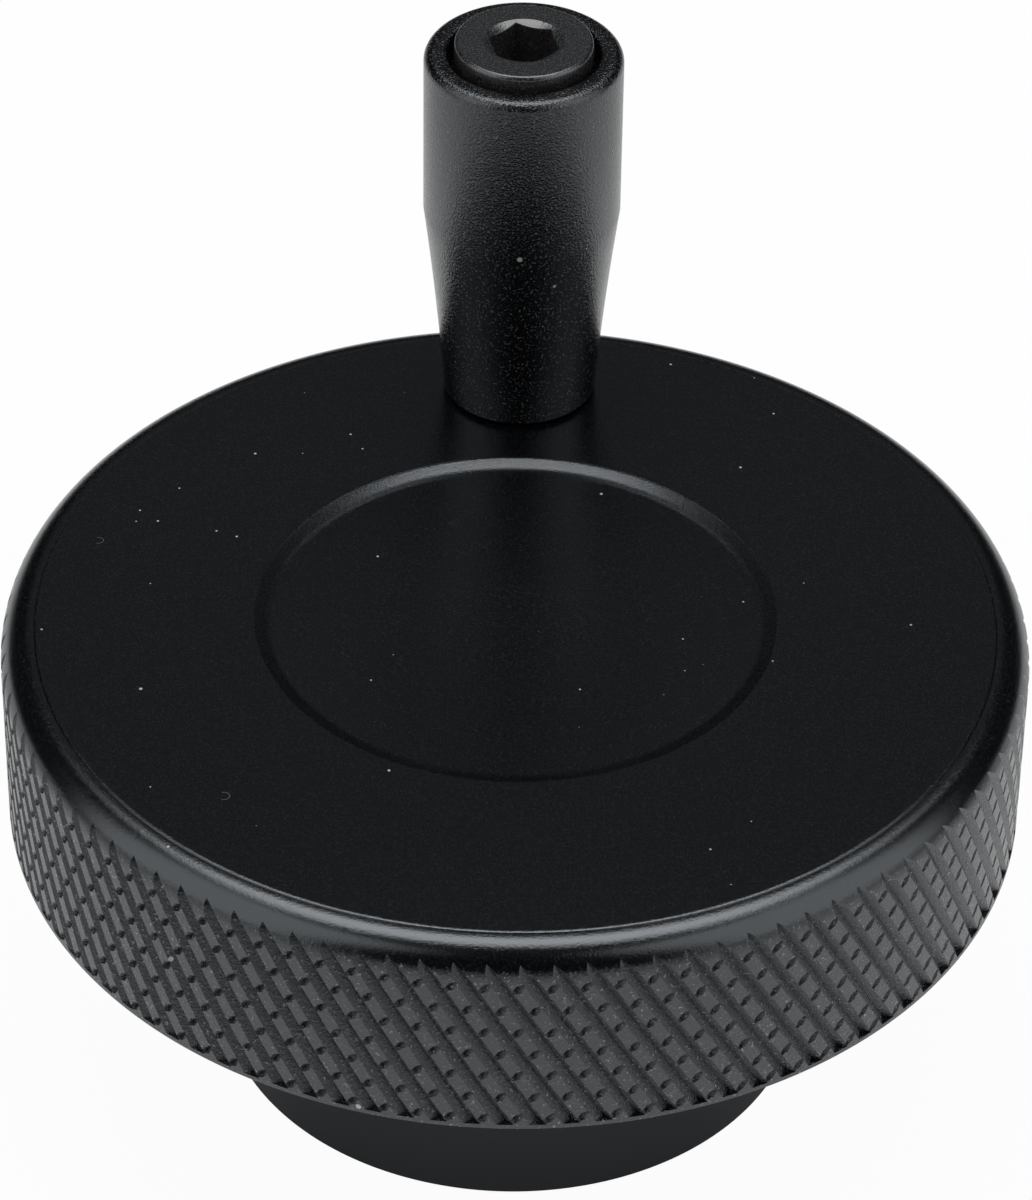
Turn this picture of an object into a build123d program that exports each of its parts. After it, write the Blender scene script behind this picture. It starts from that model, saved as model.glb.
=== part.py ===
"""A machine handwheel: a turned disc with a knurled rim and a hub, and a revolving handle.

Millimetres, +Z up. The origin is on the shaft's axis, on the hub's end face, on which the
handwheel stands. The handle stands on the +Y side of the face.
"""

from build123d import *
from math import asin, cos, degrees, radians, sin, sqrt, tan
import os

# wheel
wheel_diameter = 80.0
rim_height = 17.0
rim_rounding = 2.66
collar_height = 0.45  # plain band below the knurl
hub_diameter = 47.0
hub_length = 23.0  # below the rim
hub_chamfer = 0.5

# dished centre of the face
dish_diameter = 41.0
dish_lip_radius = 3.0
dish_lip_slope = 20.0  # degrees, at the steepest
dish_sphere_radius = 300.0

# knurl: ridges between main grooves, notched by cross grooves of the other hand
knurl_starts = 102
knurl_helix = 30.0  # degrees from the axis
knurl_skim = 0.06  # that the ridges lie below the turned rim
groove_depth = 0.75
cross_groove_width = 0.6
cutter_wall = 1.0
point_tolerance = 1e-9

# shaft bore and its clamp screw
shaft_diameter = 16.0
shaft_bore_depth = 28.0
bore_chamfer = 0.6
screw_diameter = 6.0
screw_length = 12.0
screw_height = 11.5  # above the hub's end face
screw_setback = 0.4  # from the shaft bore
screw_hex = 3.0
screw_hex_depth = 3.5
thread_clearance = 0.03

# revolving handle
handle_inset = 9.5  # its axis, from the rim
grip_diameter = 15.8
grip_foot_diameter = 12.4
grip_length = 31.8
grip_straight = 14.3  # of its length, at the top
grip_bow = 0.12  # inward, at the middle of the taper
grip_edge = 0.5  # chamfer at the top
foot_clearance = 0.25
spindle_diameter = 8.0
spindle_thread = 6.0
spindle_thread_length = 12.0
tapped_depth = 14.0
head_diameter = 11.0
head_height = 4.2
head_edge = 0.35
head_proud = 1.05  # above the grip
seat_play = 0.2  # under the head
head_gap = 0.55  # round the head
running_clearance = 0.08
socket_hex = 5.0
socket_depth = 4.0
socket_mouth = 6.35
socket_mouth_angle = 60.0  # degrees, from the axis
socket_turn = 6.0  # degrees

# worked out from the above
wheel_radius = wheel_diameter / 2
ridge_radius = wheel_radius - knurl_skim
groove_radius = ridge_radius - groove_depth
face = hub_length + rim_height
handle_radius = wheel_radius - handle_inset
hub_radius = hub_diameter / 2
shaft_radius = shaft_diameter / 2
grip_foot = face + foot_clearance
grip_top = grip_foot + grip_length
head_top = grip_top + head_proud
head_seat = head_top - head_height
spindle_radius = spindle_diameter / 2
grip_bore = spindle_radius + running_clearance


def polar(radius, angle, height):
    """A point from its radius, its angle in degrees and its height."""
    return Vector(radius * cos(radians(angle)), radius * sin(radians(angle)), height)


def through(a, b, c):
    """The plane through three points."""
    return Plane(origin=a, x_dir=b - a, z_dir=(b - a).cross(c - a))


def half_turn(points):
    """The points turned by half a turn about X, the outward axis of a knurl cell."""
    return [Vector(p.X, -p.Y, -p.Z) for p in points]


def knurl_cell(step, rise):
    """The four sides of one knurl cell, a hipped ridge, each as a list of points.

    The cell is a diamond centred on the X axis, seen from outside. step is its angle and rise
    its half height. The main grooves run along its upper right and lower left, and the cross
    grooves along the other two sides.
    """
    top, right = polar(groove_radius, 0, rise), polar(groove_radius, step / 2, 0)
    bottom, left = half_turn([top, right])
    crest = Vector(ridge_radius, 0, 0)
    main_side, main_other = through(top, right, crest), through(bottom, left, crest)
    inward = Vector(1, 0, 0).cross(left - top).normalized() * cross_groove_width / 2
    edge = (left + top) / 2 + inward
    cross_side = through(left, top, Vector(ridge_radius, edge.Y, edge.Z))
    crest_top = main_side.intersect(main_other).intersect(cross_side)
    crest_bottom = half_turn([crest_top])[0]
    return [
        [top, crest_top, crest_bottom, right],
        [left, crest_top, top],
        [bottom, crest_bottom, crest_top, left],
        [right, crest_bottom, bottom],
    ]


def last_cell(cell, crest_radius, step, lift, height):
    """The sides of a cell in the last row, where the main grooves run out in the rounding.

    Its crest climbs only to the cell's middle. Above it, the grooves lean on by lift and end at
    this height.
    """
    (_, _, crest_bottom, right), _, (bottom, _, _, left), cross_side = cell
    crest = Vector(crest_radius, 0, 0)
    left_end, right_end = [polar(groove_radius, turn - lift, height) for turn in (-step / 2, step / 2)]
    return [
        cross_side,
        [right, crest, crest_bottom],
        [left, crest_bottom, crest],
        [left, bottom, crest_bottom],
        [left, crest, left_end],
        [right, right_end, crest],
        [crest, right_end, left_end],
    ]


def above(points, height):
    """What is left of an outline above this height."""
    kept = []
    for a, b in zip(points, points[1:] + points[:1]):
        if a.Z >= height:
            kept.append(a)
        if (a.Z - height) * (b.Z - height) < 0:
            kept.append(a + (b - a) * ((height - a.Z) / (b.Z - a.Z)))
    return kept


def knurl_cutter():
    """The ring that the knurl takes off the rim, as one solid."""
    step = 360 / knurl_starts
    rise = wheel_radius * radians(step) / 2 / tan(radians(knurl_helix))
    rounding_foot = face - rim_rounding
    low = hub_length + collar_height
    high = rounding_foot + sqrt(rim_rounding**2 - (rim_rounding - groove_depth) ** 2)
    rows = int((high - hub_length) / rise)
    spare = high - hub_length - rows * rise
    crest_rise = max(high - spare - rounding_foot, 0)
    crest_radius = ridge_radius - rim_rounding + sqrt(rim_rounding**2 - crest_rise**2)
    cell = knurl_cell(step, rise)
    cells = [cell] * rows + [last_cell(cell, crest_radius, step, spare / rise * step / 2, spare)]

    # One start, from row to row, each half a step on from the one below. The collar ends it.
    sides = []
    for row, cell in enumerate(cells):
        up = Vector(0, 0, hub_length + row * rise)
        for points in cell:
            sides.append(above([p.rotate(Axis.Z, row * step / 2) + up for p in points], low))
    start = [Face(Wire.make_polygon(points)) for points in sides if len(points) > 2]

    outer = Solid.make_cylinder(wheel_radius + cutter_wall, high - low, Plane.XY.offset(low))
    faces = outer.faces().filter_by(GeomType.CYLINDER)
    turns = [i * step for i in range(knurl_starts)]
    for turn in turns:
        faces += [side.moved(Location((0, 0, 0), (0, 0, turn))) for side in start]
    for height in (low, high):
        ends = [p for points in sides for p in points if abs(p.Z - height) < point_tolerance]
        ends = sorted(ends, key=lambda p: p.Y)[::2]
        edge = [p.rotate(Axis.Z, turn) for turn in turns for p in ends]
        rim = Wire.make_circle(wheel_radius + cutter_wall, Plane.XY.offset(height))
        faces.append(Face(rim, [Wire.make_polygon(edge)]))
    return Solid(Shell(faces))


# The dish's hollow, inside its lip: a shallow cap of a large ball, whose poles lie sideways.
lip_slope = radians(dish_lip_slope)
dish_edge = (dish_diameter / 2 - 2 * dish_lip_radius * sin(lip_slope)) / (
    1 - dish_lip_radius / dish_sphere_radius
)
dish_slope = degrees(asin(dish_edge / dish_sphere_radius))
dish_rim = face - dish_lip_radius * (1 + cos(radians(dish_slope)) - 2 * cos(lip_slope))

with BuildPart() as hollow:
    with BuildSketch(Plane.XY.offset(face)):
        Circle(dish_edge)
    extrude(amount=-rim_height)
    with Locations((0, 0, dish_rim + sqrt(dish_sphere_radius**2 - dish_edge**2))):
        Sphere(dish_sphere_radius, rotation=(0, -90, 0), mode=Mode.INTERSECT)

# The wheel: turned in one piece, knurled, then drilled for the handle and the clamp screw.
with BuildPart() as wheel:
    with BuildSketch(Plane.XZ):
        with BuildLine():
            underside = Polyline(
                (0, shaft_bore_depth),
                (shaft_radius, shaft_bore_depth),
                (shaft_radius, bore_chamfer),
                (shaft_radius + bore_chamfer, 0),
                (hub_radius - hub_chamfer, 0),
                (hub_radius, hub_chamfer),
                (hub_radius, hub_length),
                (wheel_radius, hub_length),
                (wheel_radius, face - rim_rounding),
            )
            rounding = JernArc(underside @ 1, (0, 1), rim_rounding, 90)
            flat = Line(rounding @ 1, (dish_diameter / 2, face))
            lip = JernArc(flat @ 1, (-1, 0), dish_lip_radius, dish_lip_slope)
            foot = JernArc(lip @ 1, lip % 1, dish_lip_radius, dish_slope - dish_lip_slope)
            Polyline(foot @ 1, (0, dish_rim), underside @ 0)
        make_face()
    revolve(axis=Axis.Z)
    add(hollow.part, mode=Mode.SUBTRACT)
    add(knurl_cutter(), clean=False, mode=Mode.SUBTRACT)
    with Locations((0, handle_radius, face)):
        Hole(spindle_thread / 2 + thread_clearance, depth=tapped_depth)
    with BuildSketch(Plane.ZX):
        with Locations((screw_height, 0)):
            Circle(screw_diameter / 2 + thread_clearance)
    extrude(amount=hub_radius, mode=Mode.SUBTRACT)
wheel.part.label = "wheel"

# The clamp screw: a grub screw across the hub, just short of the shaft.
with BuildPart() as hub_grub_screw:
    screw_end = shaft_radius + screw_setback
    with BuildSketch(Plane.ZX.offset(screw_end)):
        with Locations((screw_height, 0)):
            Circle(screw_diameter / 2)
    extrude(amount=screw_length)
    with BuildSketch(Plane.ZX.offset(screw_end + screw_length)):
        with Locations((screw_height, 0)):
            RegularPolygon(screw_hex / 2, 6, major_radius=False)
    extrude(amount=-screw_hex_depth, mode=Mode.SUBTRACT)
hub_grub_screw.part.label = "hub_grub_screw"

# The spindle: a shoulder screw with a hexagon socket. Its shoulder stands on the face.
with BuildPart() as handle_spindle:
    with BuildSketch(Plane.XZ.offset(-handle_radius)):
        with BuildLine():
            Polyline(
                (0, face - spindle_thread_length),
                (spindle_thread / 2, face - spindle_thread_length),
                (spindle_thread / 2, face),
                (spindle_radius, face),
                (spindle_radius, head_seat),
                (head_diameter / 2, head_seat),
                (head_diameter / 2, head_top - head_edge),
                (head_diameter / 2 - head_edge, head_top),
                (0, head_top),
                close=True,
            )
        make_face()
    revolve(axis=Axis((0, handle_radius, 0), (0, 0, 1)))
    with BuildSketch(Plane.XY.offset(head_top)):
        with Locations((0, handle_radius)):
            RegularPolygon(socket_hex / 2, 6, major_radius=False, rotation=socket_turn)
    extrude(amount=-socket_depth, mode=Mode.SUBTRACT)
    mouth_depth = (socket_mouth - socket_hex) / 2 / tan(radians(socket_mouth_angle))
    with Locations((0, handle_radius, head_top - mouth_depth / 2)):
        Cone(socket_hex / 2, socket_mouth / 2, mouth_depth, mode=Mode.SUBTRACT)
handle_spindle.part.label = "handle_spindle"

# The grip: a sleeve that turns on the spindle's shoulder, under its head.
with BuildPart() as handle_grip:
    with BuildSketch(Plane.XZ.offset(-handle_radius)):
        with BuildLine():
            counterbore = head_diameter / 2 + head_gap
            foot_radius, top_radius = grip_foot_diameter / 2, grip_diameter / 2
            taper_top = grip_top - grip_straight
            waist = ((foot_radius + top_radius) / 2 - 2 * grip_bow, (grip_foot + taper_top) / 2)
            Bezier((foot_radius, grip_foot), waist, (top_radius, taper_top))
            Polyline(
                (top_radius, taper_top),
                (top_radius, grip_top - grip_edge),
                (top_radius - grip_edge, grip_top),
                (counterbore, grip_top),
                (counterbore, head_seat - seat_play),
                (grip_bore, head_seat - seat_play),
                (grip_bore, grip_foot),
                (foot_radius, grip_foot),
            )
        make_face()
    revolve(axis=Axis((0, handle_radius, 0), (0, 0, 1)))
handle_grip.part.label = "handle_grip"

os.makedirs("parts", exist_ok=True)
for piece in (wheel, hub_grub_screw, handle_spindle, handle_grip):
    export_step(piece.part, f"parts/{piece.part.label}.step")
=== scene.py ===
import math

import bpy
from mathutils import Matrix, Vector


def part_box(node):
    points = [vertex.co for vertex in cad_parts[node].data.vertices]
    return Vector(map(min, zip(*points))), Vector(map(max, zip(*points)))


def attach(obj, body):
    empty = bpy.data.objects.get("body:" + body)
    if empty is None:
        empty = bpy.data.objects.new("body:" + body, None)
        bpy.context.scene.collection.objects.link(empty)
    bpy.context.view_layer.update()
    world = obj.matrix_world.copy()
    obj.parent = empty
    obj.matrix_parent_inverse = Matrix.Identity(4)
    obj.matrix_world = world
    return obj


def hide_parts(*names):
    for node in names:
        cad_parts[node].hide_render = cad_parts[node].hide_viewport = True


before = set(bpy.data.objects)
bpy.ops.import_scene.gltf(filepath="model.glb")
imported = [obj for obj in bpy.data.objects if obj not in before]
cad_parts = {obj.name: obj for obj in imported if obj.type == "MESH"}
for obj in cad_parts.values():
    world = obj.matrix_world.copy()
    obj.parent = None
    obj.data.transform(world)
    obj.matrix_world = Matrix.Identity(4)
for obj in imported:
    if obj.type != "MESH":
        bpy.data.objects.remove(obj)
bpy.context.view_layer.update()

mm = 0.001
joinGap = 0.0004 * mm
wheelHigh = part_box("wheel")[1]
gripLow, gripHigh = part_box("handle_grip")
spindleLow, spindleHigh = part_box("handle_spindle")
screwLow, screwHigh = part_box("hub_grub_screw")
rimRadius = wheelHigh.x
face = wheelHigh.z
handleAxis = (gripLow + gripHigh) / 2
handleAxis.z = 0.0


def deselectAll():
    if bpy.context.object and bpy.context.object.mode != "OBJECT":
        bpy.ops.object.mode_set(mode="OBJECT")
    bpy.ops.object.select_all(action="DESELECT")


def choose(piece):                            # selects this piece alone
    deselectAll()
    bpy.context.view_layer.objects.active = piece
    piece.select_set(True)


def startPiece(name, sides=3):                # a flat shape at the origin, open for editing
    deselectAll()
    bpy.ops.mesh.primitive_circle_add(vertices=sides, radius=1.0, fill_type="NGON")
    piece = bpy.context.object
    piece.name = piece.data.name = name
    bpy.ops.object.mode_set(mode="EDIT")
    bpy.ops.mesh.select_all(action="SELECT")
    return piece


def drawLine(start, end):                     # extrudes the chosen vertex along a line
    move = (end[0] - start[0], 0, end[1] - start[1])
    bpy.ops.mesh.extrude_region_move(TRANSFORM_OT_translate={"value": move})
    return end


def drawArc(start, centre, degrees, steps):   # spins the chosen vertex about a point of the section
    turn = math.radians(degrees)
    bpy.ops.mesh.spin(steps=steps, angle=turn, center=(centre[0], 0, centre[1]), axis=(0, 1, 0))
    across, up = start[0] - centre[0], start[1] - centre[1]
    return (centre[0] + across * math.cos(turn) - up * math.sin(turn),
            centre[1] + across * math.sin(turn) + up * math.cos(turn))


def lathe(name, path, columns):
    # a turned piece from its half section: points in radius and height,
    # and arcs by their centre, degrees and steps
    piece = startPiece(name)
    bpy.ops.mesh.merge(type="CENTER")
    at = path[0]
    bpy.ops.transform.translate(value=(at[0], 0, at[1]))
    for step in path[1:]:
        at = drawLine(at, step) if len(step) == 2 else drawArc(at, *step)
    bpy.ops.mesh.select_all(action="SELECT")
    bpy.ops.mesh.remove_doubles(threshold=joinGap)
    bpy.ops.mesh.select_all(action="SELECT")
    bpy.ops.mesh.spin(steps=columns, angle=2 * math.pi, center=(0, 0, 0), axis=(0, 0, 1))
    bpy.ops.mesh.select_all(action="SELECT")
    bpy.ops.mesh.remove_doubles(threshold=joinGap)
    bpy.ops.mesh.normals_make_consistent(inside=False)
    bpy.ops.object.mode_set(mode="OBJECT")
    return piece


def drill(name, radius, depth, columns=32):   # a plain drill standing on the origin
    return lathe(name, [(0, 0), (radius, 0), (radius, depth), (0, depth)], columns)


def cut(piece, cutter):
    choose(piece)
    trim = piece.modifiers.new("cut", "BOOLEAN")
    trim.operation = "DIFFERENCE"
    trim.solver = "MANIFOLD"
    trim.object = cutter
    bpy.ops.object.modifier_apply(modifier=trim.name)
    bpy.data.objects.remove(cutter)


def turnAboutAxis(angle, axis="Z"):           # with no window, the operator turns the other way
    bpy.ops.transform.rotate(value=-angle, orient_axis=axis, center_override=(0, 0, 0))


def movePiece(piece, move):
    choose(piece)
    bpy.ops.transform.translate(value=move)
    bpy.ops.object.transform_apply(location=True, rotation=True, scale=True)


def smooth(piece, degrees):
    choose(piece)
    bpy.ops.object.shade_smooth_by_angle(angle=math.radians(degrees))


def paint(piece, material):
    piece.data.materials.clear()
    piece.data.materials.append(material)


class Tone:                                   # a shader socket that can stand in a sum
    def __init__(self, socket):
        self.socket = socket

    def math(self, operation, first, second):
        node = self.socket.id_data.nodes.new("ShaderNodeMath")
        node.operation = operation
        for slot, value in zip(node.inputs, (first, second)):
            if isinstance(value, Tone):
                self.socket.id_data.links.new(value.socket, slot)
            else:
                slot.default_value = value
        return Tone(node.outputs[0])

    def __add__(self, other):
        return self.math("ADD", self, other)

    def __sub__(self, other):
        return self.math("SUBTRACT", self, other)

    def __rsub__(self, other):
        return self.math("SUBTRACT", other, self)

    def __mul__(self, other):
        return self.math("MULTIPLY", self, other)

    def __truediv__(self, other):
        return self.math("DIVIDE", self, other)

    def __rtruediv__(self, other):
        return self.math("DIVIDE", other, self)

    def __gt__(self, other):
        return self.math("GREATER_THAN", self, other)

    def __lt__(self, other):
        return self.math("LESS_THAN", self, other)

    def other(self, name):                    # another output of the same node
        return Tone(self.socket.node.outputs[name])

    __radd__ = __add__
    __rmul__ = __mul__


class Finish:                                 # one procedural material
    def __init__(self, name, roughness, **fixed):
        self.material = bpy.data.materials.new(name)
        self.material.use_nodes = True
        self.tree = self.material.node_tree
        self.shader = self.tree.nodes["Principled BSDF"]
        self.shader.inputs["Roughness"].default_value = roughness
        for socket, value in fixed.items():
            self.shader.inputs[socket.replace("_", " ")].default_value = value
        self.place = self.node("ShaderNodeTexCoord", output="Object")

    def node(self, kind, settings=None, inputs=None, output=0):
        node = self.tree.nodes.new(kind)
        for name, value in (settings or {}).items():
            setattr(node, name, value)
        for name, value in (inputs or {}).items():
            if isinstance(value, Tone):
                self.tree.links.new(value.socket, node.inputs[name])
            else:
                node.inputs[name].default_value = value
        return Tone(node.outputs[output])

    def noise(self, size, detail, roughness=0.5):         # grain of about this size
        return self.node("ShaderNodeTexNoise", {}, {
            "Vector": self.place, "Scale": 1 / size, "Detail": detail, "Roughness": roughness})

    def between(self, value, low, high):                  # 0 below low, 1 above high
        return self.node("ShaderNodeMapRange", {"interpolation_type": "SMOOTHSTEP"}, {
            "Value": value, "From Min": low, "From Max": high})

    def band(self, value, rise, fall):                    # 1 from the end of one range to the next
        return self.between(value, *rise) * (1 - self.between(value, *fall))

    def mix(self, share, first, second):                  # two colours, given or made
        return self.node("ShaderNodeMix", {"data_type": "RGBA"}, {
            "Factor": share, "A": self.full(first), "B": self.full(second)}, "Result")

    def full(self, colour):
        return colour if isinstance(colour, Tone) else (*colour, 1)

    def axis(self, letter):
        return self.node("ShaderNodeSeparateXYZ", {}, {"Vector": self.place}, letter)

    def radius(self):                                     # distance from the wheel's axis
        flat = self.node("ShaderNodeVectorMath", {"operation": "MULTIPLY"}, {
            0: self.place, 1: (1, 1, 0)})
        return self.node("ShaderNodeVectorMath", {"operation": "LENGTH"}, {0: flat}, "Value")

    def distance(self, where):
        return self.node("ShaderNodeVectorMath", {"operation": "DISTANCE"}, {
            0: self.place, 1: where}, "Value")

    def specks(self, spacing, size, share):               # scattered dust, of up to this size
        smallest, edge = 0.4, 0.6                         # shares of its size
        cells = self.node("ShaderNodeTexVoronoi", {}, {
            "Vector": self.place, "Scale": 1 / spacing}, "Distance")
        chance = self.node("ShaderNodeSeparateColor", {}, {"Color": cells.other("Color")}, "Red")
        reach = (chance * ((1 - smallest) / share) + smallest) * (size / spacing)
        return (chance < share) * (1 - self.between(cells / reach, edge, 1.0))

    def spots(self, places):                              # single grains: where, and how large
        total = 0.0
        for where, size in places:
            total = total + (self.distance(where) < size)
        return total

    def lint(self, where, size):                          # a curled fibre, open on one side
        inner, opening = 0.86, 0.4                        # shares of its size
        away = self.distance(where)
        side = self.axis("X") - (where[0] - opening * size)
        return (away > inner * size) * (away < size) * (side > 0.0)

    def feed(self, socket, value):
        self.tree.links.new(value.socket, self.shader.inputs[socket])

    def showWhite(self, seen, mirrored):                  # shares for the camera and reflections
        ray = self.node("ShaderNodeLightPath", output="Is Camera Ray")
        reflected = ray.other("Is Glossy Ray") + ray.other("Is Transmission Ray")
        share = ray * seen + reflected * mirrored
        white = self.node("ShaderNodeEmission", {}, {"Color": (1, 1, 1, 1), "Strength": 1.0})
        mixed = self.node("ShaderNodeMixShader", {}, {
            0: share, 1: Tone(self.shader.outputs[0]), 2: white})
        self.tree.links.new(mixed.socket, self.tree.nodes["Material Output"].inputs["Surface"])

    def bump(self, height, depth):
        self.feed("Normal", self.node("ShaderNodeBump", {}, {"Height": height, "Distance": depth}))


wheel = {
    "columns": 408,
    "smoothAngle": 30.0,
    "hubRadius": 23.5 * mm,
    "hubLength": 23.0 * mm,
    "hubEdge": 0.5 * mm,
    "boreRadius": 8.0 * mm,
    "boreDepth": 28.0 * mm,
    "boreEdge": 0.6 * mm,
    "rimEdge": 0.12 * mm,
    "rounding": 2.60 * mm,
    "step": 0.075 * mm,                       # left where the face cut meets the rounding
    "stepShape": [(0.4, 1.0), (1.0, 0.45), (2.0, 0.0), (5.0, 0.0)],    # inward and down, in steps
    "lipLoop": 4.0,                           # steps from the lip to a last loop of the flat face
    "dishRadius": 20.5 * mm,
    "lipEdge": 0.7 * mm,
    "lipRun": 0.70 * mm,
    "lipFoot": 2.2 * mm,
    "lipSlope": 26.0,
    "dishSphere": 300.0 * mm,
    "arcSteps": {"rimEdge": 3, "rounding": 18, "lip": 6, "foot": 8, "dish": 12},
    "spindleHole": 3.03 * mm,
    "spindleHoleDepth": 14.0 * mm,
    "screwHole": 3.03 * mm,
    "knurl": {
        "starts": 102,
        "helix": 30.0,
        "collar": 0.45 * mm,
        "depth": 0.48 * mm,
        "spread": 1.18,                       # of the vee, half its width over its depth
        "notchDepth": 0.31 * mm,              # of the short cross cuts on the flats
        "notchSpread": 1.02,
        "notchLength": 1.20 * mm,
        "notchEnd": 0.22 * mm,                # over which it rises to the surface
        "notchRows": 7,
        "proud": 0.2 * mm,                    # of the cutters, over the rim
        "turnSteps": 9,
    },
    "finish": {
        "roughness": 0.18,
        "index": 1.74,
        "tint": (0.88, 0.95, 1.0, 1),
        "grain": (0.14 * mm, 3.0),            # size and detail
        "grainRange": (0.50, 0.74),           # from the first plain colour to the second
        "plain": ((0.0016, 0.0017, 0.0022), (0.015, 0.016, 0.020)),
        "blast": (0.27 * mm, 4.0, 0.7),       # size, detail and roughness of the coarser grain
        "blastRange": (0.57, 0.72),
        # dark blasted metal and light flecks; the light flecks are painted glints
        "blastedWithGlints": ((0.0020, 0.0024, 0.0032), (0.34, 0.35, 0.37)),
        "knurlFrom": (39.2 * mm, 39.4 * mm),  # radii over which the blasted grain, with its painted glints, begins
        "knurlTo": (2.2 * mm, 1.3 * mm),      # depths below the face over which it ends
        "roundingFrom": (36.6 * mm, 37.4 * mm),       # and the same on the rounding
        "roundingTo": (38.8 * mm, 39.2 * mm),
        "roundingBlast": 0.06,                # share of the blasted colours, painted glints included, on the rounding
        "dull": 0.10,                         # roughness that the blasted grain adds
        "dullRange": (0.4, 0.7),
        "bumps": (0.015, 0.016, 0.10),        # of the grain, the rounding and the knurl, in mm
        "dust": (1.6 * mm, 0.14 * mm, 0.20),  # spacing, largest size and share of cells with any
        "dustDepth": 2.0 * mm,                # below the face, down to which it lies
        "dustColour": (0.50, 0.50, 0.50),
        "faceDust": [((-0.0285, -0.0100, face), 0.00013), ((-0.0212, 0.0203, face), 0.00010),
                     ((-0.0136, 0.0231, face), 0.00009), ((0.0208, 0.0268, face), 0.00009),
                     ((0.0125, 0.0335, face), 0.00010), ((0.0198, -0.0055, face), 0.00007),
                     ((-0.0300, 0.0125, face), 0.00008)],
        "rimDust": [((-0.0252, -0.0309, 0.0312), 0.00020), ((-0.0111, -0.0384, 0.0236), 0.00022)],
        "curls": [((-0.0330, 0.0085, face), 0.00040), ((-0.0215, -0.0225, face), 0.00045)],
        "lintColour": (0.09, 0.09, 0.09),
    },
}


def wheelSection():
    w = wheel
    slope = math.radians(w["lipSlope"])
    lipCentre = (w["dishRadius"], face - w["lipEdge"])
    runEnd = (w["dishRadius"] - w["lipEdge"] * math.sin(slope) - w["lipRun"] * math.cos(slope),
              face - w["lipEdge"] * (1 - math.cos(slope)) - w["lipRun"] * math.sin(slope))
    footCentre = (runEnd[0] - w["lipFoot"] * math.sin(slope),
                  runEnd[1] + w["lipFoot"] * math.cos(slope))
    footRadius = footCentre[0] / (1 - w["lipFoot"] / w["dishSphere"])
    floorSlope = math.asin(footRadius / w["dishSphere"])
    footHeight = footCentre[1] - w["lipFoot"] * math.cos(floorSlope)
    sphereCentre = (0, footHeight + w["dishSphere"] * math.cos(floorSlope))
    edge = w["rimEdge"]
    steps = w["arcSteps"]
    roundingCentre = (rimRadius - w["rounding"], face - w["step"] - w["rounding"])
    return [
        (0, w["boreDepth"]),
        (w["boreRadius"], w["boreDepth"]),
        (w["boreRadius"], w["boreEdge"]),
        (w["boreRadius"] + w["boreEdge"], 0),
        (w["hubRadius"] - w["hubEdge"], 0),
        (w["hubRadius"], w["hubEdge"]),
        (w["hubRadius"], w["hubLength"]),
        (rimRadius - edge, w["hubLength"]),
        ((rimRadius - edge, w["hubLength"] + edge), 90, steps["rimEdge"]),
        (rimRadius, w["hubLength"] + w["knurl"]["collar"]),
        (rimRadius, roundingCentre[1]),
        (roundingCentre, 90, steps["rounding"]),
        *[(roundingCentre[0] - inward * w["step"], face - down * w["step"])
          for inward, down in w["stepShape"]],
        (w["dishRadius"] + w["lipLoop"] * w["step"], face),
        (w["dishRadius"], face),
        (lipCentre, w["lipSlope"], steps["lip"]),
        runEnd,
        (footCentre, math.degrees(floorSlope) - w["lipSlope"], steps["foot"]),
        (sphereCentre, -math.degrees(floorSlope), steps["dish"]),
    ]


knurl = wheel["knurl"]
knurlStep = 2 * math.pi / knurl["starts"]
knurlRise = rimRadius * knurlStep / 2 / math.tan(math.radians(knurl["helix"]))
knurlLean = knurlStep / 2 / knurlRise         # turn for each metre of height


def startGroove(name, depth, spread, above, lean):
    # a groove's vee, wide side out, at the front of the rim: startPiece's triangle
    # is 1.5 high and twice the cosine of 30 degrees wide before it is resized
    height = depth + knurl["proud"]
    halfWidth = spread * height / math.cos(math.radians(knurl["helix"]))
    piece = startPiece(name)
    size = (halfWidth / math.cos(math.radians(30)), height / 1.5, 1)
    middle = -(rimRadius - depth) - height / 1.5
    bpy.ops.transform.resize(value=size, center_override=(0, 0, 0))
    bpy.ops.transform.translate(value=(0, middle, wheel["hubLength"] + above))
    turnAboutAxis(above * lean)
    return piece


def climb(height, lean, steps, inward=0.0):   # extrudes the chosen face up the rim as it turns
    for _ in range(steps):
        move = (0, inward / steps, height / steps)
        bpy.ops.mesh.extrude_region_move(TRANSFORM_OT_translate={"value": move})
        turnAboutAxis(height / steps * lean)


def repeatRound():
    bpy.ops.mesh.select_all(action="SELECT")
    bpy.ops.mesh.normals_make_consistent(inside=False)
    bpy.ops.mesh.spin(steps=knurl["starts"] - 1, angle=2 * math.pi - knurlStep, dupli=True,
                      center=(0, 0, 0), axis=(0, 0, 1))
    bpy.ops.object.mode_set(mode="OBJECT")


def mainGrooves():
    k = knurl
    piece = startGroove("main_grooves", k["depth"], k["spread"], k["collar"], -knurlLean)
    climb(face + k["proud"] - wheel["hubLength"] - k["collar"], -knurlLean, k["turnSteps"])
    repeatRound()
    return piece


def notches():                                # one on the middle of each flat
    k = knurl
    length = k["notchLength"] * math.cos(math.radians(k["helix"]))
    above = (knurlRise - length) / 2
    piece = startGroove("notches", k["notchDepth"], k["notchSpread"], above, knurlLean)
    bpy.ops.transform.translate(value=(0, -k["notchDepth"], 0))
    climb(k["notchEnd"], knurlLean, 1, k["notchDepth"])
    climb(length - 2 * k["notchEnd"], knurlLean, 1)
    climb(k["notchEnd"], knurlLean, 1, -k["notchDepth"])
    bpy.ops.mesh.select_all(action="SELECT")
    for _ in range(k["notchRows"] - 1):
        bpy.ops.mesh.duplicate()
        bpy.ops.transform.translate(value=(0, 0, knurlRise))
        turnAboutAxis(knurlStep / 2)
    repeatRound()
    return piece


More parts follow.
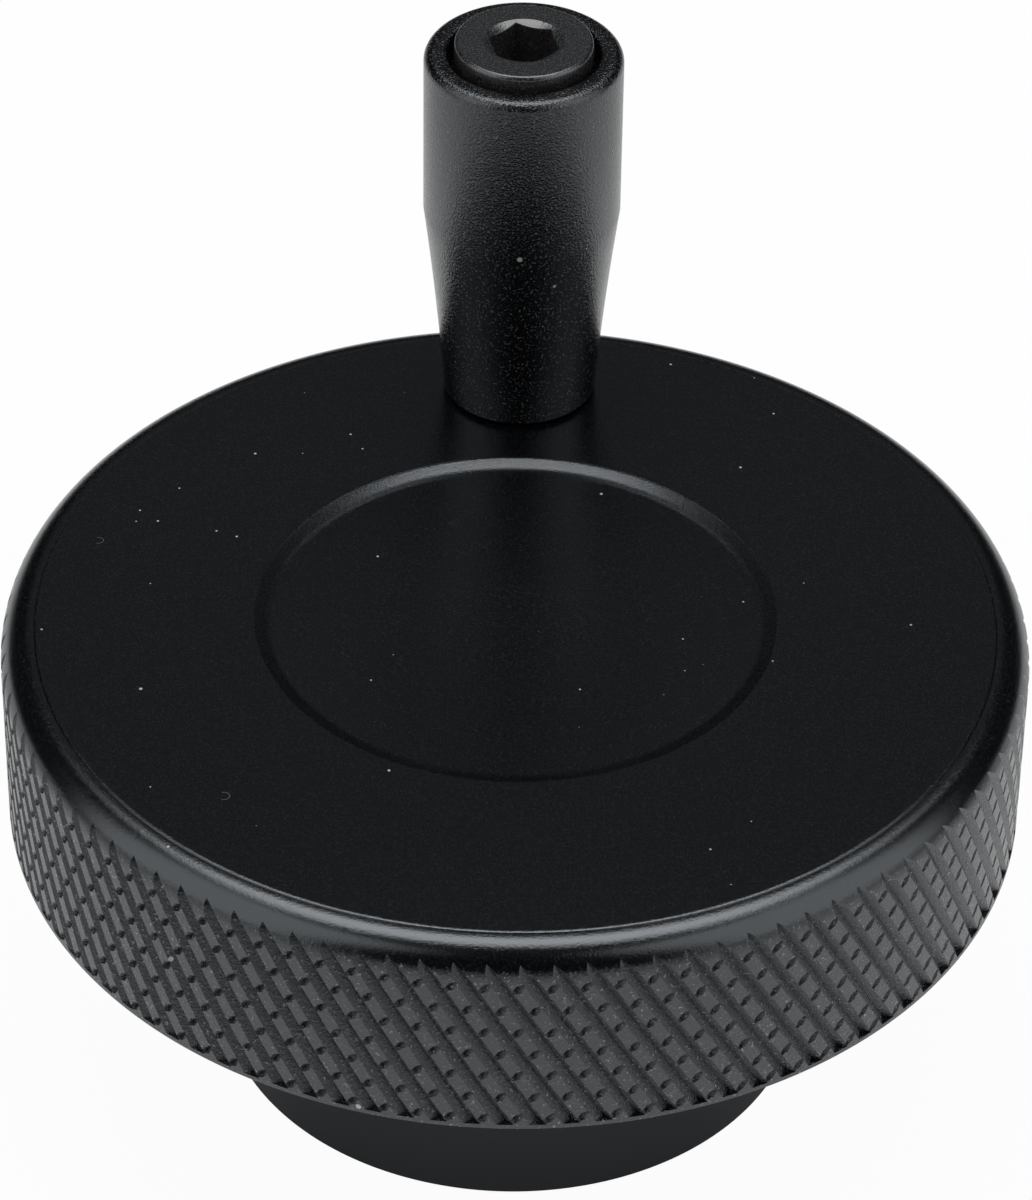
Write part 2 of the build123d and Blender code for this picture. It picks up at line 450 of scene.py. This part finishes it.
def makeWheel():
    w = wheel
    piece = lathe("turned_wheel", wheelSection(), w["columns"])
    cut(piece, mainGrooves())
    cut(piece, notches())
    tap = drill("tap", w["spindleHole"], 2 * w["spindleHoleDepth"])
    movePiece(tap, (handleAxis.x, handleAxis.y, face - w["spindleHoleDepth"]))
    cut(piece, tap)
    side = drill("side_drill", w["screwHole"], w["hubRadius"])
    choose(side)
    turnAboutAxis(-math.pi / 2, "X")
    bpy.ops.object.transform_apply(location=True, rotation=True, scale=True)
    movePiece(side, (0, w["boreRadius"] / 2, (screwLow.z + screwHigh.z) / 2))
    cut(piece, side)
    smooth(piece, w["smoothAngle"])
    return piece


def wheelFinish():
    c = wheel["finish"]
    f = Finish("black_anodised", c["roughness"], IOR=c["index"], Specular_Tint=c["tint"])
    radius, height = f.radius(), f.axis("Z")
    onRim = f.between(radius, *c["knurlFrom"])
    nearFace = f.between(height, face - c["knurlTo"][0], face - c["knurlTo"][1])
    onKnurl = onRim * (1 - nearFace)
    onRounding = f.band(radius, c["roundingFrom"], c["roundingTo"])
    grain = f.noise(*c["grain"])
    blast = f.noise(*c["blast"])
    dust = f.specks(*c["dust"]) * (height > face - c["dustDepth"])
    dust = dust + f.spots(c["faceDust"] + c["rimDust"])
    fibres = f.lint(*c["curls"][0]) + f.lint(*c["curls"][1])
    plain = f.mix(f.between(grain, *c["grainRange"]), *c["plain"])
    # its light flecks are painted glints on the blasted grain
    blastedWithGlints = f.mix(f.between(blast, *c["blastRange"]), *c["blastedWithGlints"])
    body = f.mix(onKnurl + onRounding * c["roundingBlast"], plain, blastedWithGlints)
    f.feed("Base Color", f.mix(dust, f.mix(fibres, body, c["lintColour"]), c["dustColour"]))
    f.feed("Roughness", c["roughness"] + onKnurl * f.between(blast, *c["dullRange"]) * c["dull"])
    grainBump, roundingBump, knurlBump = c["bumps"]
    f.bump(grain * grainBump + (onRounding * roundingBump + onKnurl * knurlBump) * blast, mm)
    return f.material


knurledWheel = makeWheel()
paint(knurledWheel, wheelFinish())
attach(knurledWheel, "wheel")
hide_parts("wheel")
print("wheel:", len(knurledWheel.data.polygons), "faces")


grip = {
    "columns": 128,
    "smoothAngle": 40.0,
    "topRadius": 7.9 * mm,
    "footRadius": 6.2 * mm,
    "straight": 14.3 * mm,                    # of its length, at the top
    "bow": 0.12 * mm,                         # inward, at the middle of the taper
    "taperSteps": 14,
    "topEdge": 0.8 * mm,
    "footEdge": 0.3 * mm,
    "mouthEdge": 0.25 * mm,
    "bore": 4.08 * mm,
    "counterbore": 6.05 * mm,
    "seat": 3.35 * mm,                        # of the head, below the top
    "arcSteps": {"foot": 4, "top": 6, "mouth": 3},
    "finish": {
        "roughness": 0.16,
        "index": 1.75,
        "tint": (0.90, 0.96, 1.0, 1),
        "texture": (0.19 * mm, 2.0, 0.6),     # size, detail and roughness
        "textureRange": (0.58, 0.70),         # from the first colour to the second; the light second colour is painted glints on the grain
        # black moulding and light flecks: the texture is the moulding's grain, its light flecks in
        # colour are painted glints
        "colours": ((0.0018, 0.0018, 0.0022), (0.100, 0.104, 0.112)),
        "bump": 0.062,                        # of the texture, in mm
        "dust": (1.6 * mm, 0.09 * mm, 0.3),   # spacing, largest size and share of cells with any
        "dustColour": (0.40, 0.38, 0.36),
        "frontDust": [(-0.0001, 0.0577, 0.00022),      # single grains: across, height and size
                      (0.0027, 0.0546, 0.00015)],
    },
}


def taperRadius(share):
    g = grip
    straightTaper = g["footRadius"] + (g["topRadius"] - g["footRadius"]) * share
    return straightTaper - 4 * g["bow"] * share * (1 - share)


def gripSection():
    g = grip
    taperFoot = gripLow.z + g["footEdge"]
    taperLength = gripHigh.z - g["straight"] - gripLow.z - g["footEdge"]
    seat = gripHigh.z - g["seat"]
    steps = g["arcSteps"]
    path = [(g["bore"], gripLow.z), (g["footRadius"] - g["footEdge"], gripLow.z),
            ((g["footRadius"] - g["footEdge"], taperFoot), 90, steps["foot"])]
    for i in range(1, g["taperSteps"] + 1):
        share = i / g["taperSteps"]
        path.append((taperRadius(share), taperFoot + taperLength * share))
    return path + [
        (g["topRadius"], gripHigh.z - g["topEdge"]),
        ((g["topRadius"] - g["topEdge"], gripHigh.z - g["topEdge"]), 90, steps["top"]),
        (g["counterbore"] + g["mouthEdge"], gripHigh.z),
        ((g["counterbore"] + g["mouthEdge"], gripHigh.z - g["mouthEdge"]), 90, steps["mouth"]),
        (g["counterbore"], seat),
        (g["bore"], seat),
        (g["bore"], gripLow.z),
    ]


def onGrip(across, height, size):             # a grain's place on the front of the taper
    radius = taperRadius((height - gripLow.z) / (gripHigh.z - grip["straight"] - gripLow.z))
    return (across, handleAxis.y - math.sqrt(radius ** 2 - across ** 2), height), size


def gripFinish():
    c = grip["finish"]
    f = Finish("moulded_black", c["roughness"], IOR=c["index"], Specular_Tint=c["tint"])
    texture = f.noise(*c["texture"])
    dust = f.specks(*c["dust"]) + f.spots([onGrip(*grain) for grain in c["frontDust"]])
    # the light flecks on the grain are painted glints
    body = f.mix(f.between(texture, *c["textureRange"]), *c["colours"])
    f.feed("Base Color", f.mix(dust, body, c["dustColour"]))
    f.bump(texture * c["bump"], mm)
    return f.material


mouldedGrip = lathe("moulded_grip", gripSection(), grip["columns"])
movePiece(mouldedGrip, handleAxis)
smooth(mouldedGrip, grip["smoothAngle"])
paint(mouldedGrip, gripFinish())
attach(mouldedGrip, "handle")
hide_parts("handle_grip")
print("grip:", len(mouldedGrip.data.polygons), "faces")


spindle = {
    "columns": 96,
    "smoothAngle": 8.0,
    "threadRadius": 3.0 * mm,
    "radius": 4.0 * mm,
    "headRadius": 5.5 * mm,
    "headHeight": 4.2 * mm,
    "headEdge": 0.35 * mm,
    "headEdgeSteps": 12,
    "socketFlats": 5.0 * mm,
    "socketDepth": 4.0 * mm,
    "socketMouth": 6.35 * mm,
    "mouthAngle": 62.0,
    "mouthColumns": 90,
    "socketTurn": 14.0,
    "worn": 0.05 * mm,                        # rounding left on the sharp edges
    "sharp": 25.0,                            # the angle from which an edge counts as one
    "finish": {
        "roughness": 0.20,
        "index": 1.8,
        "grain": (0.14 * mm, 4.0, 0.6),       # size, detail and roughness
        "grainRange": (0.42, 0.70),           # from the first colour to the second
        "colours": ((0.0080, 0.0090, 0.0100), (0.070, 0.076, 0.082)),
        "bump": 0.014 * mm,
        "stain": (0.5 * mm, 3.0),             # size and detail
        "stainRange": (0.42, 0.60),
        "stainColour": (0.020, 0.0145, 0.012),
        "stainDull": 0.12,                    # roughness that it adds
        "topWear": 0.85,                      # share of it gone from the head's top
        "topDepth": 0.45 * mm,                # down to which it is gone
    },
}


def spindleSection():
    s = spindle
    low, high = spindleLow.z, spindleHigh.z
    seat = high - s["headHeight"]
    return [
        (0, low),
        (s["threadRadius"], low),
        (s["threadRadius"], face),
        (s["radius"], face),
        (s["radius"], seat),
        (s["headRadius"], seat),
        (s["headRadius"], high - s["headEdge"]),
        ((s["headRadius"] - s["headEdge"], high - s["headEdge"]), 90, s["headEdgeSteps"]),
        (0, high),
    ]


def hexagonKey(name, flats, depth, top, turn):
    piece = startPiece(name, 6)
    corner = flats / 2 / math.cos(math.radians(30))
    bpy.ops.transform.resize(value=(corner, corner, 1), center_override=(0, 0, 0))
    turnAboutAxis(math.radians(turn))
    bpy.ops.transform.translate(value=(0, 0, top - depth))
    bpy.ops.mesh.extrude_region_move(TRANSFORM_OT_translate={"value": (0, 0, 2 * depth)})
    bpy.ops.mesh.select_all(action="SELECT")
    bpy.ops.mesh.normals_make_consistent(inside=False)
    bpy.ops.object.mode_set(mode="OBJECT")
    return piece


def bevelEdges(piece, width, sharp, above):   # rounds its sharp edges, above a height
    choose(piece)
    bpy.ops.object.mode_set(mode="EDIT")
    bpy.ops.mesh.select_mode(type="EDGE")
    bpy.ops.mesh.edges_select_sharp(sharpness=math.radians(sharp))
    bpy.ops.object.mode_set(mode="OBJECT")
    for edge in piece.data.edges:
        heights = [piece.data.vertices[v].co.z for v in edge.vertices]
        edge.select = edge.select and min(heights) > above
    for part in (*piece.data.vertices, *piece.data.polygons):
        part.select = False
    bpy.ops.object.mode_set(mode="EDIT")
    bpy.ops.mesh.bevel(offset=width, segments=2, affect="EDGES")
    bpy.ops.object.mode_set(mode="OBJECT")


def makeSpindle():
    s = spindle
    high = spindleHigh.z
    piece = lathe("shoulder_screw", spindleSection(), s["columns"])
    cut(piece, hexagonKey("key", s["socketFlats"], s["socketDepth"], high, s["socketTurn"]))
    mouthRun = (s["socketMouth"] - s["socketFlats"]) / 2
    mouth = mouthRun / math.tan(math.radians(s["mouthAngle"]))
    cone = lathe("mouth", [
        (0, high - mouth),
        (s["socketFlats"] / 2, high - mouth),
        (s["socketMouth"] - s["socketFlats"] / 2, high + mouth),
        (0, high + mouth),
    ], s["mouthColumns"])
    cut(piece, cone)
    bevelEdges(piece, s["worn"], s["sharp"], high - mouth - mm)
    movePiece(piece, handleAxis)
    smooth(piece, s["smoothAngle"])
    return piece


def steelFinish():
    c = spindle["finish"]
    f = Finish("blackened_steel", c["roughness"], IOR=c["index"])
    grain = f.noise(*c["grain"])
    stain = f.noise(*c["stain"])
    onTop = f.axis("Z") > spindleHigh.z - c["topDepth"]
    body = f.mix(f.between(grain, *c["grainRange"]), *c["colours"])
    brown = f.between(stain, *c["stainRange"]) * (1 - onTop * c["topWear"])
    f.feed("Base Color", f.mix(brown, body, c["stainColour"]))
    f.feed("Roughness", c["roughness"] + brown * c["stainDull"])
    f.bump(grain, c["bump"])
    return f.material


steel = steelFinish()
shoulderScrew = makeSpindle()
paint(shoulderScrew, steel)
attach(shoulderScrew, "wheel")
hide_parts("handle_spindle")
print("spindle:", len(shoulderScrew.data.polygons), "faces")

paint(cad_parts["hub_grub_screw"], steel)
print("grub screw: given the spindle's steel")


studio = {
    "floorSize": 6.0,
    "floorColour": (0.88, 0.88, 0.88),
    "floorRoughness": 0.9,
    "floorWhite": 0.96,                       # share that the camera sees as plain white
    "mirroredPaintedLight": 0.30,                      # white share in reflections: a painted pool of light around the wheel, left out under it
    "rimPaintedLight": 0.45,                         # added to that close to the rim: a brighter painted ring of light
    "paintedLightStart": (0.036, 0.045),              # radii over which both painted lights begin, past the hub's shadow
    "mirrorFade": (0.21, 0.7),                # and over which each ends
    "rimFade": (0.08, 0.13),
    "world": 0.010,
    "boxes": {                                # place, size and power
        "top_softbox": ((0.0, 0.20, 0.85), (0.75, 0.50), 4.5),
        "back_panel": ((0.0, 1.03, 0.66), (0.80, 0.50), 0.10),
        "left_panel": ((-0.60, -0.26, 0.46), (0.80, 0.85), 2.7),
        "right_panel": ((0.60, -0.26, 0.46), (0.80, 0.85), 2.7),
    },
}


def makeFloor():
    s = studio
    deselectAll()
    bpy.ops.mesh.primitive_plane_add(size=s["floorSize"])
    floor = bpy.context.object
    floor.name = "floor"
    cover = Finish("floor_with_painted_light", s["floorRoughness"], Specular_IOR_Level=0.0)
    cover.shader.inputs["Base Color"].default_value = (*s["floorColour"], 1)
    away = cover.radius()
    # painted light seen only in reflections: a pool around the wheel and a brighter ring by the
    # rim, none under the wheel
    paintedPool = cover.band(away, s["paintedLightStart"], s["mirrorFade"])
    paintedRimPool = cover.band(away, s["paintedLightStart"], s["rimFade"])
    cover.showWhite(s["floorWhite"], paintedPool * s["mirroredPaintedLight"] + paintedRimPool * s["rimPaintedLight"])
    floor.data.materials.append(cover.material)


def addSoftbox(name, place, size, power):     # faces the middle of the wheel
    light = bpy.data.lights.new(name, "AREA")
    light.shape = "RECTANGLE"
    light.size, light.size_y = size
    light.energy = power
    lamp = bpy.data.objects.new(name, light)
    bpy.context.scene.collection.objects.link(lamp)
    lamp.location = place
    lamp.rotation_euler = (Vector((0, 0, face)) - Vector(place)).to_track_quat("-Z", "Y").to_euler()


def setWorld():
    world = bpy.data.worlds.new("studio")
    world.use_nodes = True
    world.node_tree.nodes["Background"].inputs["Color"].default_value = (1, 1, 1, 1)
    world.node_tree.nodes["Background"].inputs["Strength"].default_value = studio["world"]
    bpy.context.scene.world = world
    bpy.context.scene.view_settings.view_transform = "Standard"


makeFloor()
for name, (place, size, power) in studio["boxes"].items():
    addSoftbox(name, place, size, power)
setWorld()
print("studio:", len(studio["boxes"]), "soft boxes over the floor")


view = {
    "distance": 0.4174,                       # from the middle of the face
    "elevation": 38.22,
    "lens": 187.43,
    "sensor": 36.0,
    "tiltUp": 0.139,
    "roll": 0.838,
    "clipStart": 0.01,
}


def addCamera():
    data = bpy.data.cameras.new("camera")
    data.sensor_fit = "HORIZONTAL"
    data.sensor_width = view["sensor"]
    data.lens = view["lens"]
    data.clip_start = view["clipStart"]
    camera = bpy.data.objects.new("camera", data)
    bpy.context.scene.collection.objects.link(camera)
    up = math.radians(view["elevation"])
    place = Vector((0, -math.cos(up), math.sin(up))) * view["distance"] + Vector((0, 0, face))
    pitch = math.radians(view["elevation"] - view["tiltUp"])
    forward = Vector((0, math.cos(pitch), -math.sin(pitch)))
    right = Vector((1, 0, 0))
    above = right.cross(forward)
    roll = math.radians(view["roll"])
    turnedRight = right * math.cos(roll) + above * math.sin(roll)
    turnedAbove = above * math.cos(roll) - right * math.sin(roll)
    turned = Matrix((turnedRight, turnedAbove, -forward)).transposed()
    camera.matrix_world = Matrix.Translation(place) @ turned.to_4x4()
    bpy.context.scene.camera = camera


addCamera()
print("camera:", view["elevation"], "degrees above the face")
